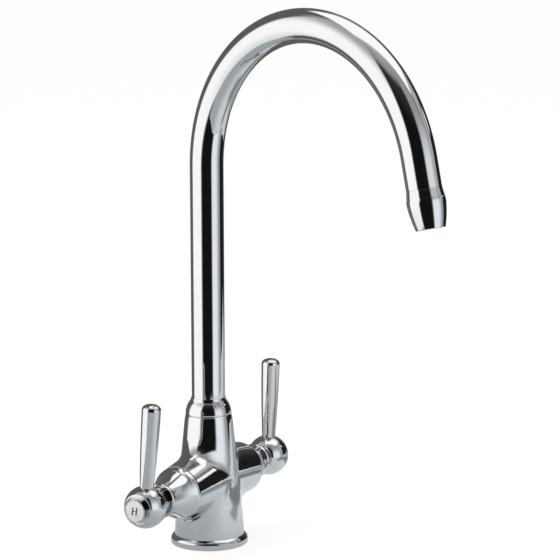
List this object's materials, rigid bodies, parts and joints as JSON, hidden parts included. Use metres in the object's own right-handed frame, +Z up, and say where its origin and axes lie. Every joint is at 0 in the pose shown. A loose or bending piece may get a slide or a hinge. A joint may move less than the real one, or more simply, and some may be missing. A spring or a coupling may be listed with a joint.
{
  "type": "two handle kitchen faucet",
  "caption": "Chrome kitchen faucet: cast body with hot and cold lever handles on ball hubs, porcelain buttons, and a swivelling swan-neck spout with an aerator.",
  "frame": {"origin": "centre of the base on the worktop", "axes": "+Z up along the body and the riser, -Y towards the user at the sink, -X towards the hot handle, +X towards the cold handle"},
  "size_m": [0.1844, 0.2259, 0.3604],
  "materials": {
    "chrome": "polished",
    "brass": "machined",
    "steel": "satin",
    "rubber": "matte",
    "nylon": "matte",
    "acetal": "satin",
    "fibre": "matte",
    "ceramic": "lapped",
    "porcelain": "glazed"
  },
  "bodies": {
    "body": {"body_casting": "chrome", "base_ring": "chrome", "base_gasket": "rubber", "thrust_washer": "nylon", "retaining_ring": "nylon", "spout_collar": "chrome", "hot_seat_seal": "rubber", "hot_fixed_disc": "ceramic", "hot_valve_body": "brass", "hot_gland_washer": "fibre", "hot_shroud": "chrome", "cold_seat_seal": "rubber", "cold_fixed_disc": "ceramic", "cold_valve_body": "brass", "cold_gland_washer": "fibre", "cold_shroud": "chrome"},
    "spout": {"spout_spigot": "brass", "spout_o_rings": "rubber", "spout_tube": "chrome", "nozzle": "chrome", "aerator_washer": "rubber", "aerator_housing": "acetal", "aerator_core": "acetal", "aerator_screen": "steel"},
    "hot_handle": {"hot_moving_disc": "ceramic", "hot_valve_spindle": "brass", "hot_spindle_o_rings": "rubber", "hot_circlip": "steel", "hot_handle_ball": "chrome", "hot_lever": "chrome", "hot_handle_screw": "steel", "hot_button_bezel": "chrome", "hot_button": "porcelain"},
    "cold_handle": {"cold_moving_disc": "ceramic", "cold_valve_spindle": "brass", "cold_spindle_o_rings": "rubber", "cold_circlip": "steel", "cold_handle_ball": "chrome", "cold_lever": "chrome", "cold_handle_screw": "steel", "cold_button_bezel": "chrome", "cold_button": "porcelain"}
  },
  "joints": [
    {"name": "spout_swivel", "type": "hinge", "parent": "body", "child": "spout", "pos_m": [0, 0, 0.07], "axis": [0, 0, 1], "continuous": true},
    {"name": "hot_handle_turn", "type": "hinge", "parent": "body", "child": "hot_handle", "pos_m": [-0.045, 0, 0.042], "axis": [1, 0, 0], "range_deg": [0, 90]},
    {"name": "cold_handle_turn", "type": "hinge", "parent": "body", "child": "cold_handle", "pos_m": [0.045, 0, 0.042], "axis": [1, 0, 0], "range_deg": [0, 90]}
  ]
}
